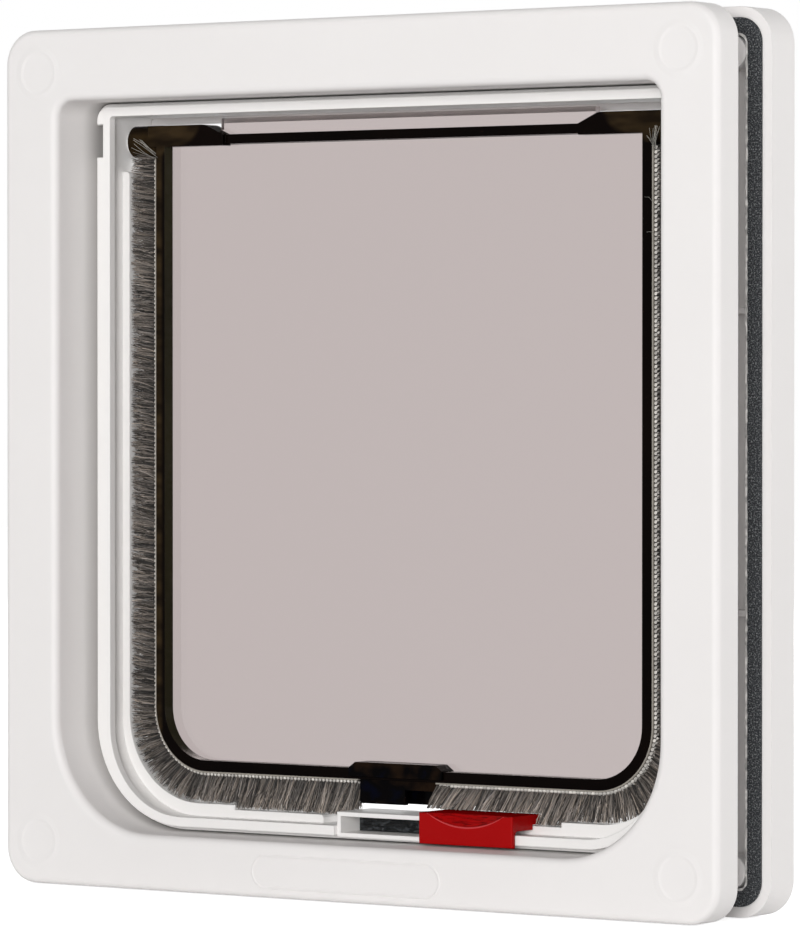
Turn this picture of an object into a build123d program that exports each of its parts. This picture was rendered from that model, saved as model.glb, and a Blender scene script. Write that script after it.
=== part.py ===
from build123d import *
import os

os.makedirs("parts", exist_ok=True)

# Frames: width along X, height along Z, depths along Y behind the inner face
FRAME_W = 196.0
FRAME_H = 198.0
FRAME_R = 8.0
OVERALL_DEPTH = 32.4
INNER_T = 8.2
OUTER_T = 10.5
FACE_WALL = 2.4
SIDE_WALL = 2.0
EDGE_R = 1.6
REAR_EDGE = 1.2
MOUTH_R = 1.8
RIB_T = 1.4
RIB_DROP = 1.2
RIB_FRACTIONS = (1 / 3, 2 / 3)

# Mouth of the inner frame and the collar that lines the door
BORDER_SIDE = 15.2
BORDER_TOP = 16.6
BORDER_LOW = 12.75
MOUTH_R_LOW = 26.0
MOUTH_R_TOP = 4.0
COLLAR_WALL = 1.6
COLLAR_LENGTH = 19.5

# Screw places shared by both frames
SCREW_INSET_X = 10.0
SCREW_INSET_Z = 10.0
CAP_R = 4.6
CAP_T = 1.8
CAP_SUNK = 0.12
CAP_CLEAR = 0.04
CAP_BOSS_WALL = 1.2
SCREW_HOLE_R = 2.1
SCREW_BOSS_R = 3.8
PILOT_R = 1.25
PILOT_DEPTH = 9.0
BOSS_PROUD = 0.9

# Gasket and rear lip of the outer frame
RIM_WALL = 2.4
GASKET_W = 3.6
GASKET_T = 3.4
GASKET_PROUD = 0.5
TOP_LIP = 1.6

# Tunnel liner
LINER_SET = 12.0
LINER_GAP_SIDE = 2.8
LINER_GAP_TOP = 1.1
LINER_GAP_LOW = 1.15
LINER_WALL = 2.0
LINER_R_LOW = 24.0
LINER_R_TOP = 3.0
LIP_SIDE = 3.7
LIP_LEVEL = 2.2
LIP_T = 2.0
GUIDE_SET = 3.4
GUIDE_T = 2.0
GUIDE_CLEAR = 0.25
SEAT_CLEAR = 0.05
SEAT_WALL = 1.5
SEAT_LENGTH = 3.4
NOTCH_DEEP = 1.7
NOTCH_H = 7.7

# Sealing ridge inside the liner
RIDGE_DEPTH = 19.0
RIDGE_T = 8.6
RIDGE_H = 2.0
RIDGE_H_SILL = 3.0
RIDGE_H_LOW = 1.9
RIDGE_LOW_HALF = 45.3
RIDGE_GAP_HALF = 20.0
RIDGE_CHAMFER = 0.6
RIDGE_TOP_DROP = 7.0
RIDGE_END_R = 0.9

# Flap: a see-through moulding on two steel pins
FLAP_DEPTH = 23.6
AXIS_DROP = 5.8
PANE_T = 1.8
PANE_ABOVE = 4.9
RIM_W = 2.5
RIM_PROUD = 3.1
RIM_R_LOW = 14.5
BARREL_R = 3.75
BARREL_END_GAP = 0.8
BAR_H = 2.2
BAR_T = 6.0
EAR_ABOVE = 3.5
EAR_BELOW = 1.45
EAR_LENGTH = 14.1
EAR_LAP = 1.4
BARREL_OUTSIDE = 1.0
EAR_TAPER = 5.3
EAR_ROUND = 4.0
PIN_R = 1.5
PIN_LENGTH = 9.0
PIN_CLEAR = 0.05
PAD_R = 3.0
PAD_CLEAR = 0.25

# Brush strips
BRUSH_GAP = 0.4
STRIP_CLEAR = 0.3
BRUSH_L = 6.4
BRUSH_T = 4.4
BACKING_T = 0.6
BACKING_W = 4.8

# Latch block at the foot of the flap
BLOCK_HALF = 10.5
BLOCK_H = 9.4
BLOCK_DROP = 5.5
BLOCK_FRONT = 3.4
BLOCK_BACK = 3.0
WING_HALF = 12.9
WING_TOP_HALF = 11.1
WING_STEP = 1.3
WING_UP = 0.6
WING_PROUD = 1.2
GROOVE_H = 3.4
LIP_KEEP_T = 1.2
KEEPER_LEFT_END = 2.0
KEEPER_RIGHT_END = -1.0
MAGNET_CAP_T = 1.2
FLAP_MAGNET_W = 16.0
FLAP_MAGNET_H = 2.8
FLAP_MAGNET_FLOOR = 1.0
MAGNET_CAP_EDGE = 0.6

# Magnet pocket in the sill
POCKET_HALF = 11.9
POCKET_WALL = 1.0
POCKET_FRONT = 1.2
POCKET_BACK = 14.4
POCKET_TOP = 3.3
POCKET_FOOT = 0.4
MAGNET_SET = 7.4

# Lock slide
SLIDE_W = 25.3
SLIDE_REACH = 11.3
SLIDE_PARK_GAP = 0.6
SLIDE_LIP_T = 1.1
SLIDE_CLEAR = 0.3
SLIDE_TOP_WALL = 0.9
SLIDE_TOP_CLEAR = 0.2
SLIDE_FOOT = 0.6
SLIDE_END_WALL = 1.5
SLIDE_EDGE = 0.35
SLIDE_NOSE_GAP = 0.9
SLIDE_INNER_R = 1.1
BEAK_W = 6.0
BEAK_T = 1.2
BEAK_CLEAR = 0.8
BEAK_RISE = 2.9
SCOOP_HALF = 10.5
SCOOP_DROP = 3.0
SCOOP_DEEP = 1.8

# Places nearer than this count as one
TOUCH = 0.001

# Derived planes and levels
FRONT = -OVERALL_DEPTH / 2
HALF_W = FRAME_W / 2
OUTER_FRONT = OVERALL_DEPTH - OUTER_T
MOUTH_HALF = HALF_W - BORDER_SIDE
MOUTH_LOW = BORDER_LOW
MOUTH_TOP = FRAME_H - BORDER_TOP
SCREW_X = HALF_W - SCREW_INSET_X
SCREW_LOW = SCREW_INSET_Z
SCREW_HIGH = FRAME_H - SCREW_INSET_Z
LINER_HALF = MOUTH_HALF - LINER_GAP_SIDE
LINER_LOW = MOUTH_LOW + LINER_GAP_LOW
LINER_TOP = MOUTH_TOP - LINER_GAP_TOP
LINER_IN_HALF = LINER_HALF - LINER_WALL
FLOOR_Z = LINER_LOW + LINER_WALL
CEILING_Z = LINER_TOP - LINER_WALL
LINER_BACK = OVERALL_DEPTH - FACE_WALL
AXIS_Z = CEILING_Z - AXIS_DROP
RIDGE_IN_HALF = LINER_IN_HALF - RIDGE_H
RIDGE_Z = FLOOR_Z + RIDGE_H_SILL
RIDGE_LOW_Z = FLOOR_Z + RIDGE_H_LOW
RIDGE_TOP_Z = AXIS_Z - RIDGE_TOP_DROP
PILE_HALF = RIDGE_IN_HALF - BRUSH_GAP
PILE_LOW = RIDGE_Z + BRUSH_GAP
RIM_HALF = PILE_HALF - BRUSH_L - BACKING_T
RIM_LOW = PILE_LOW + BRUSH_L + BACKING_T
PANE_FRONT = FLAP_DEPTH - PANE_T / 2
PANE_BACK = FLAP_DEPTH + PANE_T / 2
RIM_FRONT = PANE_FRONT - RIM_PROUD
BRUSH_DEPTH = (RIM_FRONT + PANE_BACK) / 2
BARREL_OUT = LINER_IN_HALF - BARREL_END_GAP
BARREL_IN = RIM_HALF + BARREL_OUTSIDE
EAR_OUT = BARREL_IN + EAR_LAP
EAR_IN = RIM_HALF - EAR_LENGTH
BAR_HALF = EAR_IN - EAR_TAPER
BLOCK_LOW = RIM_LOW - BLOCK_DROP
BLOCK_TOP = BLOCK_LOW + BLOCK_H
BLOCK_FACE = FLAP_DEPTH - BLOCK_FRONT
BLOCK_REAR = FLAP_DEPTH + BLOCK_BACK
WING_FACE = BLOCK_FACE - WING_PROUD
POCKET_TOP_Z = FLOOR_Z + POCKET_TOP
POCKET_LOW_Z = LINER_LOW - POCKET_FOOT
POCKET_FACE = LINER_SET + POCKET_FRONT
GROOVE_NEAR = BLOCK_FACE + LIP_KEEP_T
BEAK_NEAR = GROOVE_NEAR + BEAK_CLEAR
BEAK_FAR = BEAK_NEAR + BEAK_T
GROOVE_FAR = BEAK_FAR + BEAK_CLEAR
SLIDE_X0 = POCKET_HALF + SLIDE_PARK_GAP
SLIDE_X1 = SLIDE_X0 + SLIDE_W
SLIDE_FACE = LINER_SET - SLIDE_CLEAR - SLIDE_LIP_T
SLIDE_UNDER = POCKET_TOP_Z + SLIDE_TOP_CLEAR
SLIDE_TOP = SLIDE_UNDER + SLIDE_TOP_WALL
SLIDE_LOW = LINER_LOW - SLIDE_FOOT
SLIDE_NOSE = SLIDE_FACE + SLIDE_REACH
SLIDE_STEP = RIDGE_DEPTH - SLIDE_CLEAR
BEAK_TOP = SLIDE_TOP + BEAK_RISE


def depth_plane(d):
    return Plane(origin=(0, FRONT + d, 0), x_dir=(1, 0, 0), z_dir=(0, -1, 0))


def outline(half, low, top, r_low, r_top):
    """Rectangle in X and Z, with radii of its own for the lower and upper corners."""
    mid = (low + top) / 2
    sketch = Pos(0, mid) * Rectangle(2 * half, top - low)
    lower = [v for v in sketch.vertices() if v.Y < mid]
    sketch = fillet(lower, r_low)
    if not r_top:
        return sketch
    upper = [v for v in sketch.vertices() if v.Y > top - TOUCH]
    return fillet(upper, r_top)


def slab(sketch, d0, d1):
    """Extrudes an X-Z sketch from depth d0 to depth d1."""
    return extrude(depth_plane(d1) * sketch, d1 - d0)


def block(x0, x1, d0, d1, z0, z1):
    centre = ((x0 + x1) / 2, FRONT + (d0 + d1) / 2, (z0 + z1) / 2)
    return Pos(*centre) * Box(x1 - x0, d1 - d0, z1 - z0)


def rod_y(x, z, r, d0, d1):
    """Cylinder along the depth."""
    return slab(Pos(x, z) * Circle(r), d0, d1)


def rod_x(d, z, r, x0, x1):
    """Cylinder along the width."""
    centre = ((x0 + x1) / 2, FRONT + d, z)
    return Pos(*centre) * Rot(0, 90, 0) * Cylinder(r, x1 - x0)


def frame_outline(inset):
    return outline(HALF_W - inset, inset, FRAME_H - inset, FRAME_R - inset, FRAME_R - inset)


def mouth_outline(grow):
    return outline(
        MOUTH_HALF + grow, MOUTH_LOW - grow, MOUTH_TOP + grow, MOUTH_R_LOW + grow, MOUTH_R_TOP + grow
    )


def liner_outline(inset):
    return outline(
        LINER_HALF - inset, LINER_LOW + inset, LINER_TOP - inset, LINER_R_LOW - inset, LINER_R_TOP - inset
    )


def edges_at_depth(solid, d):
    """Edges that lie wholly in one depth plane."""
    found = []
    for edge in solid.edges():
        box = edge.bounding_box()
        if abs(box.min.Y - FRONT - d) < TOUCH and abs(box.max.Y - FRONT - d) < TOUCH:
            found.append(edge)
    return found


def outer_edges(solid, d, half):
    return [e for e in edges_at_depth(solid, d) if is_outside(e, half)]


def is_outside(edge, half):
    """True for an edge of the frame's own outline rather than of the opening in it."""
    box = edge.bounding_box()
    far = max(abs(box.min.X), abs(box.max.X)) > half
    return far or box.max.Z > FRAME_H - EDGE_R or box.min.Z < EDGE_R


SCREWS = [(sx * SCREW_X, z) for sx in (-1, 1) for z in (SCREW_LOW, SCREW_HIGH)]


def rib_walls(d0, d1):
    """Cross ribs from side to side and from top to bottom, to be trimmed by a hollow."""
    ribs = []
    for part in RIB_FRACTIONS:
        z = FRAME_H * part
        ribs.append(block(-HALF_W, HALF_W, d0, d1, z - RIB_T / 2, z + RIB_T / 2))
        x = FRAME_W * part - HALF_W
        ribs.append(block(x - RIB_T / 2, x + RIB_T / 2, d0, d1, 0, FRAME_H))
    return ribs


# Inner frame: bezel, hollow at the back, with a collar that runs into the door
def make_inner_frame():
    bezel = slab(frame_outline(0), 0, INNER_T)
    bezel = fillet(outer_edges(bezel, 0, MOUTH_HALF), EDGE_R)
    collar = slab(mouth_outline(COLLAR_WALL), FACE_WALL, COLLAR_LENGTH)
    hollow = slab(frame_outline(SIDE_WALL), FACE_WALL, INNER_T) - collar
    for pad in corner_pads():
        hollow -= pad
    for rib in rib_walls(FACE_WALL, INNER_T - RIB_DROP):
        hollow -= rib
    frame = bezel + collar - hollow
    frame -= slab(mouth_outline(0), 0, COLLAR_LENGTH)
    for x, z in SCREWS:
        frame -= rod_y(x, z, CAP_R, 0, CAP_T + CAP_SUNK)
        frame -= rod_y(x, z, SCREW_HOLE_R, 0, INNER_T)
    lip = [e for e in edges_at_depth(frame, 0) if is_mouth(e)]
    return fillet(lip, MOUTH_R)


def is_mouth(edge):
    """True for an edge of the mouth rather than of the outline or a screw recess."""
    box = edge.bounding_box()
    between_sides = max(-box.min.X, box.max.X) < MOUTH_HALF + MOUTH_R
    return between_sides and box.min.Z > MOUTH_LOW - MOUTH_R and box.max.Z < MOUTH_TOP + MOUTH_R


def corner_pads():
    """Solid corners behind the screw recesses, out to the side walls."""
    reach = CAP_R + CAP_BOSS_WALL
    pads = []
    for s in (-1, 1):
        x0, x1 = sorted((s * (SCREW_X - reach), s * HALF_W))
        pads.append(block(x0, x1, FACE_WALL, INNER_T, 0, SCREW_LOW + reach))
        pads.append(block(x0, x1, FACE_WALL, INNER_T, SCREW_HIGH - reach, FRAME_H))
    return pads


# Screw caps: one plain disc in each recess
def make_screw_caps():
    caps = []
    for x, z in SCREWS:
        caps.append(rod_y(x, z, CAP_R - CAP_CLEAR, CAP_SUNK, CAP_SUNK + CAP_T))
    return Compound(children=caps)


# Outer frame: bezel, hollow at the front, with gasket channel, liner seat and screw bosses
def make_outer_frame():
    bezel = slab(frame_outline(0), OUTER_FRONT, OVERALL_DEPTH)
    bezel = chamfer(outer_edges(bezel, OVERALL_DEPTH, MOUTH_HALF), REAR_EDGE)
    channel_floor = OUTER_FRONT - GASKET_PROUD + GASKET_T
    inside = RIM_WALL + GASKET_W
    hollow = slab(frame_outline(inside), channel_floor, LINER_BACK)
    seat = slab(liner_outline(-SEAT_CLEAR - SEAT_WALL), LINER_BACK - SEAT_LENGTH, LINER_BACK)
    hollow -= seat
    for x, z in SCREWS:
        hollow -= rod_y(x, z, SCREW_BOSS_R, OUTER_FRONT, LINER_BACK)
    for rib in rib_walls(LINER_BACK - SEAT_LENGTH, LINER_BACK):
        hollow -= rib
    frame = bezel - slab(frame_outline(RIM_WALL), OUTER_FRONT, channel_floor) - hollow
    for x, z in SCREWS:
        frame += rod_y(x, z, SCREW_BOSS_R, OUTER_FRONT - BOSS_PROUD, LINER_BACK)
    for x, z in SCREWS:
        frame -= rod_y(x, z, PILOT_R, OUTER_FRONT - BOSS_PROUD, OUTER_FRONT - BOSS_PROUD + PILOT_DEPTH)
    frame -= slab(liner_outline(-SEAT_CLEAR), channel_floor, LINER_BACK)
    way_out = outline(
        LINER_IN_HALF, FLOOR_Z, CEILING_Z - TOP_LIP, LINER_R_LOW - LINER_WALL, LINER_R_TOP - LINER_WALL
    )
    frame -= slab(way_out, LINER_BACK, OVERALL_DEPTH)
    lip = [e for e in edges_at_depth(frame, OVERALL_DEPTH) if not is_outside(e, MOUTH_HALF)]
    return chamfer(lip, REAR_EDGE)


def make_gasket():
    ring = frame_outline(RIM_WALL) - frame_outline(RIM_WALL + GASKET_W)
    d0 = OUTER_FRONT - GASKET_PROUD
    return slab(ring, d0, d0 + GASKET_T)


# Tunnel liner: tube with front lip, guide band, sealing ridge, hinge pads and the sill's magnet pocket
def make_liner():
    tube = slab(liner_outline(0) - liner_outline(LINER_WALL), LINER_SET, LINER_BACK)
    lip_in = outline(
        LINER_HALF - LIP_SIDE,
        LINER_LOW + LIP_LEVEL,
        LINER_TOP - LIP_LEVEL,
        LINER_R_LOW - LIP_SIDE,
        LINER_R_TOP - LIP_LEVEL,
    )
    tube += slab(liner_outline(0) - lip_in, LINER_SET, LINER_SET + LIP_T)
    band = mouth_outline(-GUIDE_CLEAR) - liner_outline(LINER_WALL / 2)
    guide_back = LINER_SET + GUIDE_SET + GUIDE_T
    tube += slab(band, guide_back - GUIDE_T, guide_back)
    tube += make_ridge()
    for s in (-1, 1):
        pad_in = BARREL_OUT + PAD_CLEAR
        x0, x1 = sorted((s * pad_in, s * (LINER_HALF - LINER_WALL / 2)))
        tube += rod_x(FLAP_DEPTH, AXIS_Z, PAD_R, x0, x1)
        h0, h1 = sorted((s * BARREL_OUT, s * (LINER_HALF + LINER_WALL)))
        tube -= rod_x(FLAP_DEPTH, AXIS_Z, PIN_R + PIN_CLEAR, h0, h1)
        n0, n1 = sorted((s * (LINER_HALF - NOTCH_DEEP), s * MOUTH_HALF))
        tube -= block(n0, n1, LINER_SET, guide_back, AXIS_Z - NOTCH_H / 2, AXIS_Z + NOTCH_H / 2)
    pocket = block(
        -POCKET_HALF, POCKET_HALF, POCKET_FACE, LINER_SET + POCKET_BACK, POCKET_LOW_Z, POCKET_TOP_Z
    )
    tube -= block(-POCKET_HALF, POCKET_HALF, LINER_SET, POCKET_FACE, POCKET_LOW_Z, POCKET_TOP_Z)
    tube += pocket
    tube -= block(
        -POCKET_HALF + POCKET_WALL,
        POCKET_HALF - POCKET_WALL,
        POCKET_FACE,
        LINER_SET + POCKET_BACK - POCKET_WALL,
        POCKET_LOW_Z + POCKET_WALL,
        POCKET_TOP_Z - POCKET_WALL,
    )
    return tube


def make_ridge():
    """Land that the brushes meet: both sides and the sill, low and gapped round the lock."""
    d0 = RIDGE_DEPTH
    d1 = RIDGE_DEPTH + RIDGE_T
    root = LINER_WALL / 2
    r_in = LINER_R_LOW - LINER_WALL - RIDGE_H
    inner = outline(RIDGE_IN_HALF, RIDGE_Z, LINER_TOP, r_in, LINER_R_TOP)
    cut_top = Pos(0, (RIDGE_TOP_Z + LINER_TOP) / 2) * Rectangle(FRAME_W, LINER_TOP - RIDGE_TOP_Z)
    ring = liner_outline(root) - inner - cut_top
    ends = [v for v in ring.vertices() if v.Y > RIDGE_TOP_Z - TOUCH and abs(v.X) < RIDGE_IN_HALF + TOUCH]
    ring = fillet(ends, RIDGE_END_R)
    ridge = slab(ring, d0, d1)
    ridge -= block(-RIDGE_LOW_HALF, RIDGE_LOW_HALF, d0, d1, RIDGE_LOW_Z, RIDGE_Z)
    gap = Polygon(
        (-RIDGE_GAP_HALF, FLOOR_Z),
        (RIDGE_GAP_HALF, FLOOR_Z),
        (RIDGE_GAP_HALF, RIDGE_LOW_Z - RIDGE_CHAMFER),
        (RIDGE_GAP_HALF + RIDGE_CHAMFER, RIDGE_LOW_Z),
        (-RIDGE_GAP_HALF - RIDGE_CHAMFER, RIDGE_LOW_Z),
        (-RIDGE_GAP_HALF, RIDGE_LOW_Z - RIDGE_CHAMFER),
        align=None,
    )
    return ridge - slab(gap, d0, d1)


def make_sill_magnet():
    d0 = LINER_SET + MAGNET_SET + POCKET_FRONT
    return block(
        -POCKET_HALF + POCKET_WALL,
        POCKET_HALF - POCKET_WALL,
        d0,
        LINER_SET + POCKET_BACK - POCKET_WALL,
        POCKET_LOW_Z + POCKET_WALL,
        POCKET_TOP_Z - POCKET_WALL,
    )


# Flap: pane, rim, hinge barrels, ears and cross bar in one moulding, notched for the latch block
def rim_outline(inset, top):
    return outline(RIM_HALF - inset, RIM_LOW + inset, top, RIM_R_LOW - inset, 0)


def make_flap():
    flap = slab(rim_outline(0, AXIS_Z), RIM_FRONT, PANE_BACK)
    flap -= slab(rim_outline(RIM_W, AXIS_Z + RIM_W), RIM_FRONT, PANE_FRONT)
    strip_half = (BAR_HALF + EAR_IN) / 2
    flap += block(-strip_half, strip_half, PANE_FRONT, PANE_BACK, AXIS_Z - BAR_H, AXIS_Z + PANE_ABOVE)
    bar_front = FLAP_DEPTH - BAR_T / 2
    flap += block(-EAR_IN, EAR_IN, bar_front, bar_front + BAR_T, AXIS_Z - BAR_H / 2, AXIS_Z + BAR_H / 2)
    right_ear = make_ear()
    flap += right_ear + mirror(right_ear, about=Plane.YZ)
    for s in (-1, 1):
        x0, x1 = sorted((s * BARREL_IN, s * BARREL_OUT))
        flap += rod_x(FLAP_DEPTH, AXIS_Z, BARREL_R, x0, x1)
    flap -= latch_body()
    for s in (-1, 1):
        h0, h1 = sorted((s * (BARREL_OUT - PIN_LENGTH + LINER_WALL), s * BARREL_OUT))
        flap -= rod_x(FLAP_DEPTH, AXIS_Z, PIN_R, h0, h1)
    return flap


def make_ear():
    """Rail from the right-hand barrel to the cross bar, with a sloped inner end."""
    top = AXIS_Z + EAR_ABOVE
    low = AXIS_Z - EAR_BELOW
    profile = Polygon(
        (EAR_OUT, low),
        (EAR_OUT, top),
        (EAR_IN, top),
        (BAR_HALF, AXIS_Z + BAR_H / 2),
        (BAR_HALF, low),
        align=None,
    )
    shoulder = [v for v in profile.vertices() if abs(v.X - EAR_IN) < TOUCH]
    return slab(fillet(shoulder, EAR_ROUND), RIM_FRONT, PANE_BACK)


def latch_body():
    """Outer form of the latch block: a body, and wings that lap over the rim."""
    wing_low = RIM_LOW + WING_UP
    wing_high = BLOCK_TOP - WING_STEP
    wings = Polygon(
        (-WING_HALF, wing_low),
        (WING_HALF, wing_low),
        (WING_HALF, wing_high),
        (WING_TOP_HALF, BLOCK_TOP),
        (-WING_TOP_HALF, BLOCK_TOP),
        (-WING_HALF, wing_high),
        align=None,
    )
    body = block(-BLOCK_HALF, BLOCK_HALF, BLOCK_FACE, BLOCK_REAR, BLOCK_LOW, wing_high)
    return body + slab(wings, WING_FACE, PANE_BACK)


def make_latch_block():
    body = latch_body() - magnet_room()
    groove_top = BLOCK_LOW + GROOVE_H
    body -= block(-BLOCK_HALF, BLOCK_HALF, GROOVE_NEAR, GROOVE_FAR, BLOCK_LOW, groove_top)
    body -= block(KEEPER_LEFT_END, BLOCK_HALF, BLOCK_FACE, GROOVE_NEAR, BLOCK_LOW, groove_top)
    body -= block(-BLOCK_HALF, KEEPER_RIGHT_END, GROOVE_FAR, BLOCK_REAR, BLOCK_LOW, groove_top)
    return body


def magnet_levels():
    low = BLOCK_LOW + GROOVE_H + FLAP_MAGNET_FLOOR
    return low, low + FLAP_MAGNET_H


def magnet_room():
    low, high = magnet_levels()
    half = FLAP_MAGNET_W / 2
    return block(-half, half, PANE_FRONT, BLOCK_REAR, low, high) + make_magnet_cover()


def make_flap_magnet():
    low, high = magnet_levels()
    half = FLAP_MAGNET_W / 2
    return block(-half, half, PANE_FRONT, BLOCK_REAR - MAGNET_CAP_T, low, high)


def make_magnet_cover():
    low, high = magnet_levels()
    half = FLAP_MAGNET_W / 2 + MAGNET_CAP_EDGE
    edge = MAGNET_CAP_EDGE
    return block(-half, half, BLOCK_REAR - MAGNET_CAP_T, BLOCK_REAR, low - edge, high + edge)


def make_pin(s):
    x0, x1 = sorted((s * (BARREL_OUT - PIN_LENGTH + LINER_WALL), s * (LINER_HALF - SEAT_CLEAR)))
    return rod_x(FLAP_DEPTH, AXIS_Z, PIN_R, x0, x1)


# Brush strips: a backing tape on the rim with a pile that reaches to the ridge
def strip_band(inner_grow, outer_grow, s):
    """One half of the band round the rim, from the hinge barrel down to the latch block."""
    top = AXIS_Z - BARREL_R - BRUSH_GAP
    band = rim_outline(-outer_grow, AXIS_Z) - rim_outline(-inner_grow, AXIS_Z)
    x0, x1 = sorted((s * (BLOCK_HALF + STRIP_CLEAR), s * HALF_W))
    keep = Pos((x0 + x1) / 2, top / 2) * Rectangle(x1 - x0, top)
    return band & keep


def make_backing(s):
    band = strip_band(0, BACKING_T, s)
    return slab(band, BRUSH_DEPTH - BACKING_W / 2, BRUSH_DEPTH + BACKING_W / 2)


def make_pile(s):
    band = strip_band(BACKING_T, BACKING_T + BRUSH_L, s)
    pile = slab(band, BRUSH_DEPTH - BRUSH_T / 2, BRUSH_DEPTH + BRUSH_T / 2)
    d0 = BRUSH_DEPTH - BRUSH_T
    d1 = BRUSH_DEPTH + BRUSH_T
    over_pocket = POCKET_HALF + SLIDE_CLEAR
    pile -= block(-over_pocket, over_pocket, d0, d1, 0, POCKET_TOP_Z + BRUSH_GAP)
    if s > 0:
        pile -= block(0, SLIDE_X1 + SLIDE_CLEAR, d0, d1, 0, SLIDE_TOP + SLIDE_CLEAR)
        pile -= block(0, SLIDE_X0 + BEAK_W + 2 * SLIDE_CLEAR, d0, d1, 0, BEAK_TOP + SLIDE_CLEAR)
    return pile


# Lock slide: saddle over the sill with a finger scoop and a beak for the keepers
def make_slide():
    inner_wall = POCKET_FACE - SLIDE_CLEAR
    upper = LINER_LOW + LIP_LEVEL + SLIDE_NOSE_GAP
    front_wall = Polygon(
        (SLIDE_FACE, SLIDE_LOW),
        (SLIDE_FACE + SLIDE_LIP_T, SLIDE_LOW),
        (SLIDE_FACE + SLIDE_LIP_T, upper),
        (inner_wall, upper),
        (inner_wall, SLIDE_UNDER),
        (SLIDE_NOSE, SLIDE_UNDER),
        (SLIDE_NOSE, SLIDE_TOP),
        (SLIDE_FACE, SLIDE_TOP),
        align=None,
    )
    end_wall = Polygon(
        (SLIDE_FACE, SLIDE_LOW),
        (SLIDE_FACE + SLIDE_LIP_T, SLIDE_LOW),
        (SLIDE_FACE + SLIDE_LIP_T, upper),
        (SLIDE_STEP, upper),
        (SLIDE_STEP, RIDGE_LOW_Z + SLIDE_CLEAR),
        (SLIDE_NOSE, RIDGE_LOW_Z + SLIDE_CLEAR),
        (SLIDE_NOSE, SLIDE_TOP),
        (SLIDE_FACE, SLIDE_TOP),
        align=None,
    )
    front_wall = round_undercut(front_wall, upper)
    end_wall = round_undercut(end_wall, upper)
    slide = across(front_wall, SLIDE_X0, SLIDE_X1) + across(end_wall, SLIDE_X1 - SLIDE_END_WALL, SLIDE_X1)
    slide = fillet(edges_at_depth(slide, SLIDE_FACE), SLIDE_EDGE)
    slide -= scoop()
    beak_end = SLIDE_X0 + BEAK_W
    slide += block(SLIDE_X0, beak_end, SLIDE_NOSE - BEAK_T, BEAK_FAR, SLIDE_UNDER, SLIDE_TOP)
    slide += block(SLIDE_X0, beak_end, BEAK_NEAR, BEAK_FAR, SLIDE_UNDER, BEAK_TOP)
    return slide


def round_undercut(profile, upper):
    """Rounds the inner corner that clears the liner's lip."""
    inner = SLIDE_FACE + SLIDE_LIP_T
    corner = [v for v in profile.vertices() if abs(v.X - inner) < TOUCH and abs(v.Y - upper) < TOUCH]
    return fillet(corner, SLIDE_INNER_R)


def across(profile, x0, x1):
    """Extrudes a depth-height profile along the width."""
    plane = Plane(origin=(x0, FRONT, 0), x_dir=(0, 1, 0), z_dir=(1, 0, 0))
    return extrude(plane * profile, x1 - x0)


def scoop():
    """Ball that cuts a dish whose lower rim is an arc on the slide's face."""
    r_face = (SCOOP_HALF**2 + SCOOP_DROP**2) / (2 * SCOOP_DROP)
    r_back = r_face - SCOOP_DROP
    run = (r_face**2 - r_back**2 - SCOOP_DEEP**2) / (2 * SCOOP_DEEP)
    radius = (r_face**2 + run**2) ** 0.5
    centre_x = (SLIDE_X0 + SLIDE_X1) / 2
    centre_z = SLIDE_TOP + r_back
    return Pos(centre_x, FRONT + SLIDE_FACE - run, centre_z) * Sphere(radius)


PARTS = {
    "inner_frame": make_inner_frame,
    "screw_caps": make_screw_caps,
    "outer_frame": make_outer_frame,
    "weather_gasket": make_gasket,
    "tunnel_liner": make_liner,
    "sill_magnet": make_sill_magnet,
    "flap": make_flap,
    "latch_block": make_latch_block,
    "flap_magnet": make_flap_magnet,
    "magnet_cover": make_magnet_cover,
    "hinge_pin_left": lambda: make_pin(-1),
    "hinge_pin_right": lambda: make_pin(1),
    "brush_backing_left": lambda: make_backing(-1),
    "brush_backing_right": lambda: make_backing(1),
    "brush_pile_left": lambda: make_pile(-1),
    "brush_pile_right": lambda: make_pile(1),
    "lock_slide": make_slide,
}

for name, make in PARTS.items():
    export_step(make(), f"parts/{name}.step")
    print(name)
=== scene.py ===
import math

import bpy
import numpy as np
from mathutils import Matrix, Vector

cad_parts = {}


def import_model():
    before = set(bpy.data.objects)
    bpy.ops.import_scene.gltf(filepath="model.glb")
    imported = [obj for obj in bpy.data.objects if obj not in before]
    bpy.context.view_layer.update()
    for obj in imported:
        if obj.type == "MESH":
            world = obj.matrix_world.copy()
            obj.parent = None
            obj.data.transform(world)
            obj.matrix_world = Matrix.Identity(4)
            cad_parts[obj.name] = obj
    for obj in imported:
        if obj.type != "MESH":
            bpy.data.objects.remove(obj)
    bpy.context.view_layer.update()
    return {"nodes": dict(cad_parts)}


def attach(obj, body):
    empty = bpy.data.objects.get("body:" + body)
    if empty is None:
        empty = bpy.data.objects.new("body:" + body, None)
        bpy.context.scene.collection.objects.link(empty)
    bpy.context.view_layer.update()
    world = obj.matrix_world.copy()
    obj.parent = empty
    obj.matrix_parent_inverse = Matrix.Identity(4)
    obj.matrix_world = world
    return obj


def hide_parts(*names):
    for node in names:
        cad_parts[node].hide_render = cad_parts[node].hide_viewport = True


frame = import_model()
nodes = frame["nodes"]
SEED = 41
rng = np.random.default_rng(SEED)

# Depth 0 is the inner frame's face; sizes are in millimetres until a mesh or a node takes them
MM = 0.001
FRONT = -16.2
MID_Z = 99.0
LEFT = -1
RIGHT = 1

# Flap: pane, rim and the clear strip above the bar
PANE_FRONT = 22.7
PANE_BACK = 24.5
RIM_HALF = 68.6
RIM_LOW = 26.3
RIM_R = 14.5
STRIP_LOW = 174.2
STRIP_HALF = 51.85

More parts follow.
